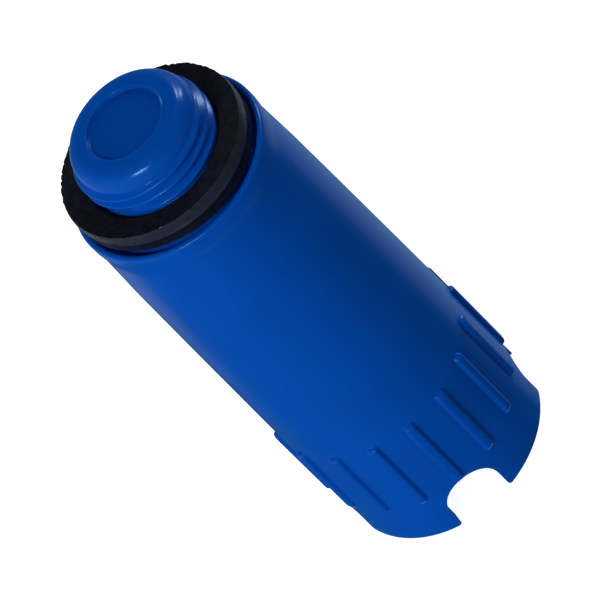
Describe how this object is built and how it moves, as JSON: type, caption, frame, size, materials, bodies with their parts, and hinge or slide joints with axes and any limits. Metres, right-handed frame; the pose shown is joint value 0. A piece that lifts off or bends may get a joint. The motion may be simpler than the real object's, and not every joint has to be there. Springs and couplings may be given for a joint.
{
  "type": "pressure test plug",
  "caption": "Blind threaded test plug: long hollow sleeve with grip ribs and turning notches, domed male pipe thread on top, and a loose rubber sealing washer on its neck.",
  "frame": {"origin": "centre of the open end, in the plane that the plug stands on", "axes": "+Z along the sleeve towards the threaded tip; +X and +Y each run through the middle of a turning notch and the rib above it"},
  "size_m": [0.0326, 0.0326, 0.0857],
  "materials": {
    "blue_polypropylene": "semi-gloss injection moulded polypropylene",
    "black_rubber": "matt cut faces, glossier extruded side"
  },
  "bodies": {
    "plug": {"plug_body": "blue_polypropylene"},
    "washer": {"sealing_washer": "black_rubber"}
  },
  "joints": [
    {"name": "washer_turn", "type": "hinge", "parent": "plug", "child": "washer", "pos_m": [0, 0, 0.07665], "axis": [0, 0, 1], "continuous": true}
  ]
}
